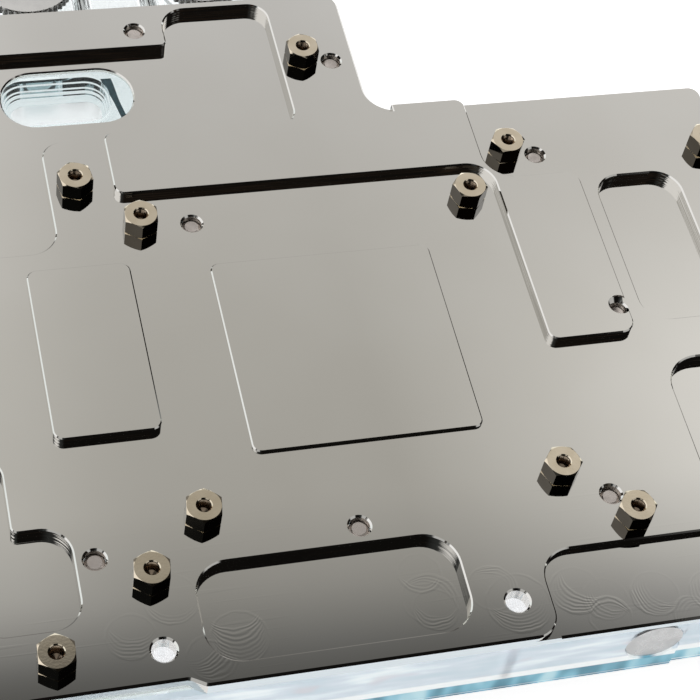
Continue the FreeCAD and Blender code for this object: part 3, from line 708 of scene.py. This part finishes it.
def makeWorld(look):
    world = bpy.data.worlds.new("studio")
    scene.world = world
    world.use_nodes = True
    t = Tree(world.node_tree)
    x, y, z = t.split(t.add("ShaderNodeTexCoord").outputs["Generated"])
    height = t.math("MAXIMUM", z, look["lowest"])
    side = t.math("DIVIDE", x, height)
    far = t.math("DIVIDE", y, height)

    def fade(value, name):
        return t.smooth(value, *look[name])

    def part(colour, name, *masks):
        return t.mix(t.product(*masks), colour, look[name])

    lean = t.math("MULTIPLY", t.math("SUBTRACT", side, look["leanFrom"]), look["lean"])
    spread = fade(t.math("ADD", far, lean), "wallReach")
    spread.node.interpolation_type = "LINEAR"
    colour = t.ramp(spread, look["wallStops"])
    colour = part(colour, "leftShade", fade(side, "leftShadeSide"))

    rise = t.math("MAXIMUM", t.math("SUBTRACT", side, look["rightGlowFrom"]), 0.0)
    corner = t.math("ADD", far, t.math("MULTIPLY", side, look["rightGlowSlope"]))
    rightGlow = t.product(rise, look["rightGlowRise"], fade(far, "rightGlowFar"), fade(corner, "rightGlowCorner"),
                          fade(side, "rightGlowSide"))
    rightGlow = t.math("MINIMUM", rightGlow, look["rightGlowMost"])
    leftGlow = t.product(fade(side, "leftGlowSide"), fade(far, "leftGlowFar"))
    colour = t.mix(1.0, colour, t.math("ADD", rightGlow, leftGlow), blend="ADD")

    colour = part(colour, "pastRight", fade(t.math("SUBTRACT", side, far), "pastRightCorner"),
                  fade(side, "pastRightSide"))
    corner = t.math("ADD", x, t.math("MULTIPLY", y, look["leftWindowSlope"]))
    colour = part(colour, "leftWindow", fade(side, "leftWindowSide"), fade(far, "leftWindowFar"),
                  fade(corner, "leftWindowCorner"))
    colour = part(colour, "behind", fade(y, "behindY"), fade(z, "behindZ"),
                  t.math("MAXIMUM", fade(x, "behindRight"), fade(x, "behindLeft")))

    low = t.product(fade(z, "lowZ"), fade(y, "lowY"), fade(x, "lowX"))
    lowRight = t.product(fade(z, "lowRightZ"), fade(y, "lowRightTo"), fade(y, "lowRightFrom"))
    left = t.math("SUBTRACT", x, t.math("MULTIPLY", y, look["lowFarSlope"]))
    lowFar = t.product(fade(z, "lowFarZ"), fade(left, "lowFarLeft"))
    colour = part(colour, "low", t.math("MAXIMUM", t.math("MAXIMUM", low, lowRight), lowFar))

    brownFar = t.math("ABSOLUTE", t.math("ADD", far, look["brownAt"]))
    colour = part(colour, "brown", fade(brownFar, "brownFar"), fade(y, "brownY"))
    reach = t.math("SQRT", t.math("MULTIPLY_ADD", side, side, t.math("MULTIPLY", far, far)))
    colour = part(colour, "overhead", fade(reach, "overheadReach"))

    rays = t.add("ShaderNodeLightPath").outputs
    background = t.nodes["Background"]
    t.feed(background.inputs["Color"], t.mix(rays["Is Camera Ray"], colour, (1.0, 1.0, 1.0)))
    background.inputs["Strength"].default_value = 1.0


makeFloor(studio)
for name, (place, watts) in studio["lamps"].items():
    makeLamp(name, place, watts, studio["lampSize"])
makeWorld(sky)


# the camera that was fitted to the photo
cameraSetup = {
    "place": (-0.072643, -0.172656, 0.244241),
    "right": (0.96545, -0.22312, 0.13466),
    "up": (0.10233, 0.79976, 0.59153),
    "view": (0.23968, 0.55732, -0.79496),
    "sensor": 36.0,
    "lens": 105.03,
    "shiftX": -0.0044,
    "clipStart": 0.01,
}
cameraData = bpy.data.cameras.new("camera")
cameraData.sensor_width = cameraSetup["sensor"]
cameraData.lens = cameraSetup["lens"]
cameraData.shift_x = cameraSetup["shiftX"]
cameraData.clip_start = cameraSetup["clipStart"]
camera = bpy.data.objects.new("camera", cameraData)
scene.collection.objects.link(camera)
axes = Matrix((cameraSetup["right"], cameraSetup["up"], tuple(-v for v in cameraSetup["view"]))).transposed()
camera.matrix_world = Matrix.Translation(cameraSetup["place"]) @ axes.to_4x4()
scene.camera = camera
scene.view_settings.view_transform = "Standard"
print("studio and camera done")
